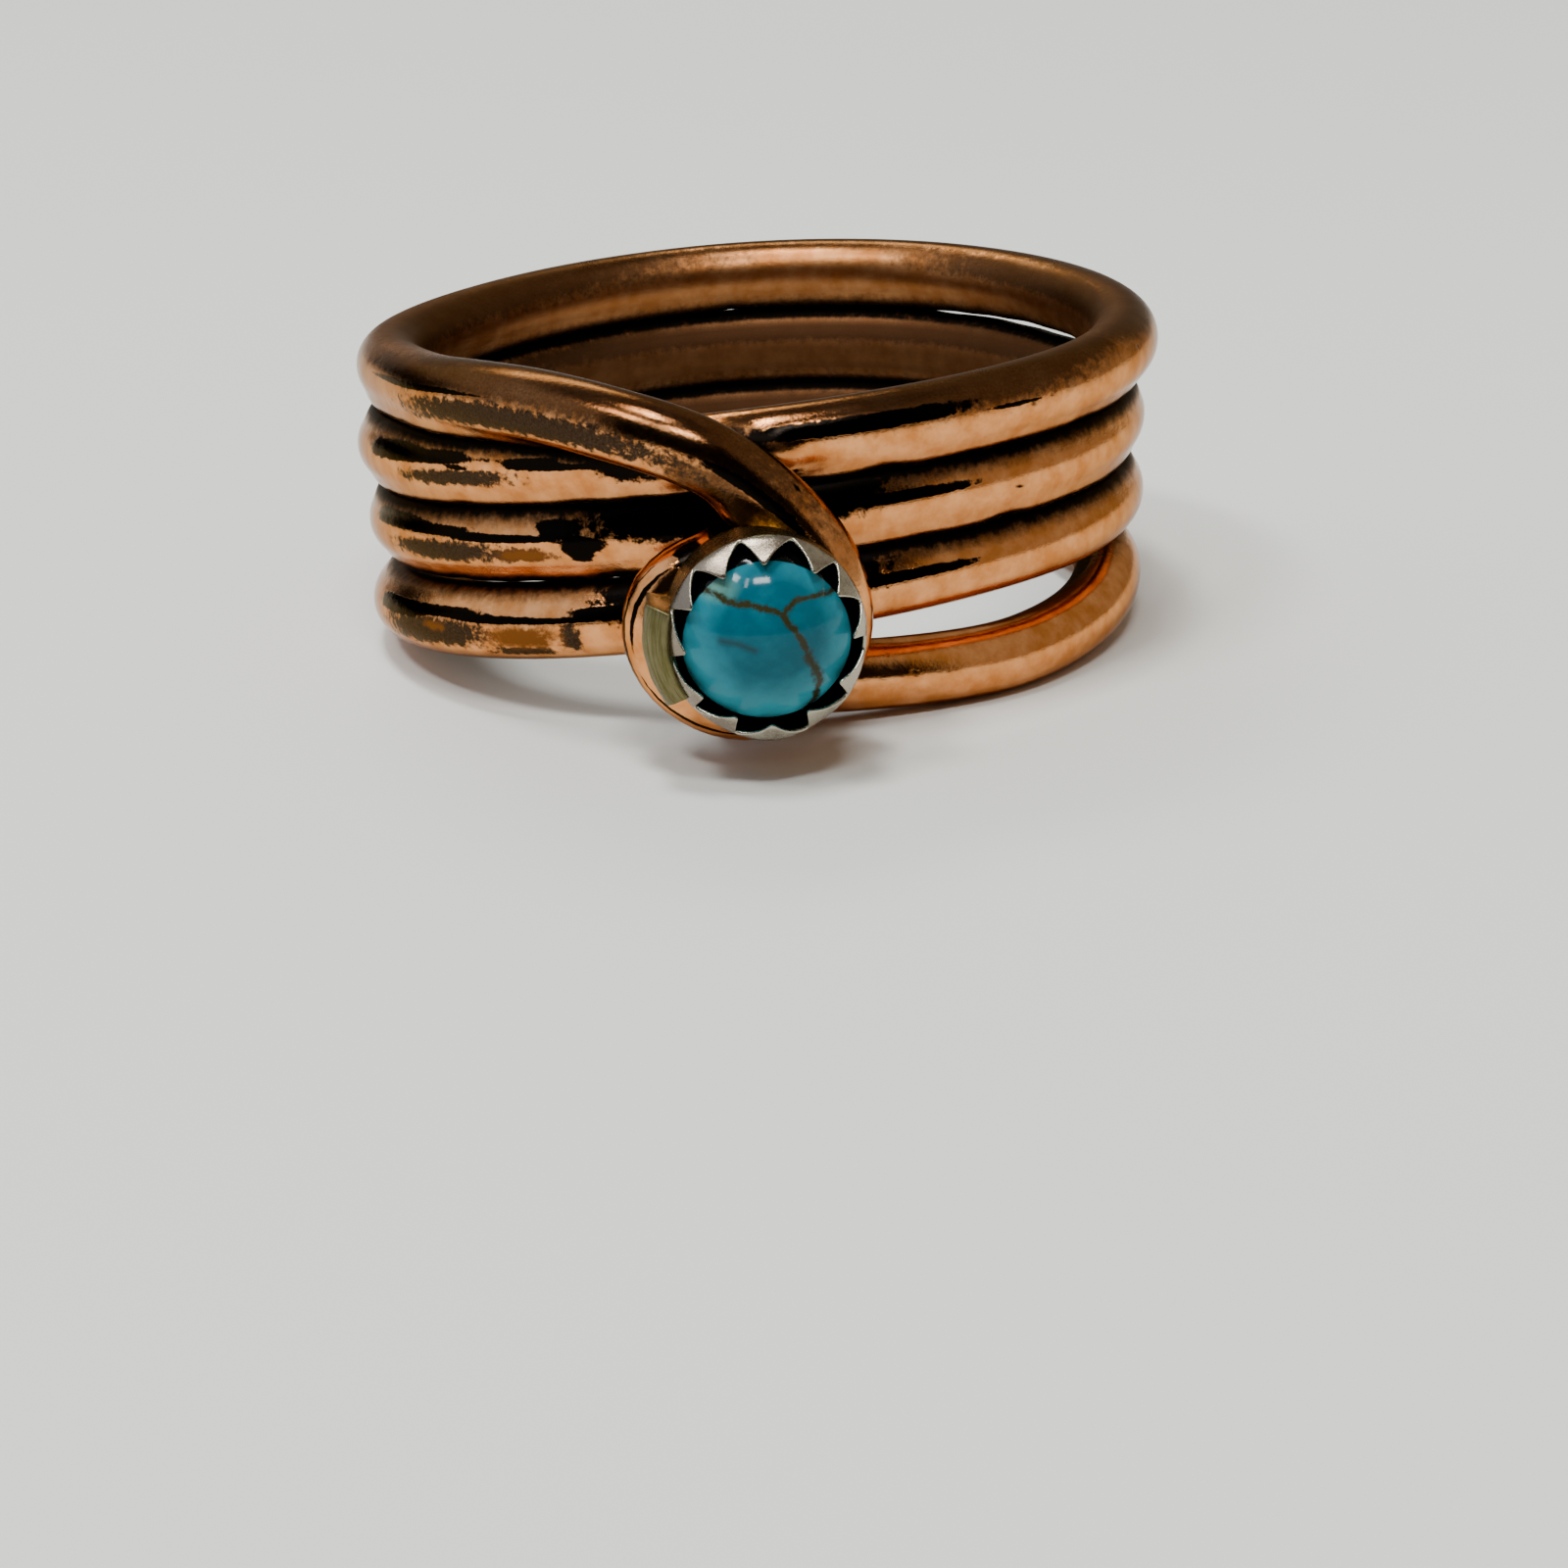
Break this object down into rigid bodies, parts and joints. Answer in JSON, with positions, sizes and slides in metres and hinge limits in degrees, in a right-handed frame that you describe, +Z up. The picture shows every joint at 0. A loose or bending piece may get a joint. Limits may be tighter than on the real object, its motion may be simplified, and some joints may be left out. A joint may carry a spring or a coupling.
{
  "type": "coil ring",
  "caption": "Copper wire finger ring, coiled in close turns, with a small round turquoise cabochon in a serrated silver bezel on a curled loop at the front.",
  "frame": {"origin": "on the surface that the ring lies on, at the middle of its footprint", "axes": "+Z up along the finger, +X to the right and -Y towards the viewer, the way the stone faces"},
  "size_m": [0.0216, 0.0258, 0.0093],
  "materials": {
    "copper": "polished copper wire, warm pinkish brown, with dark tarnish patches and soft wear",
    "silver": "hand-filed silver, bright on the teeth's edges, grey and olive tarnish on the wall",
    "turquoise": "polished turquoise with thin olive-brown veins"
  },
  "bodies": {
    "root": {"coil_ring": "copper", "turquoise_stone": "turquoise"}
  },
  "joints": []
}
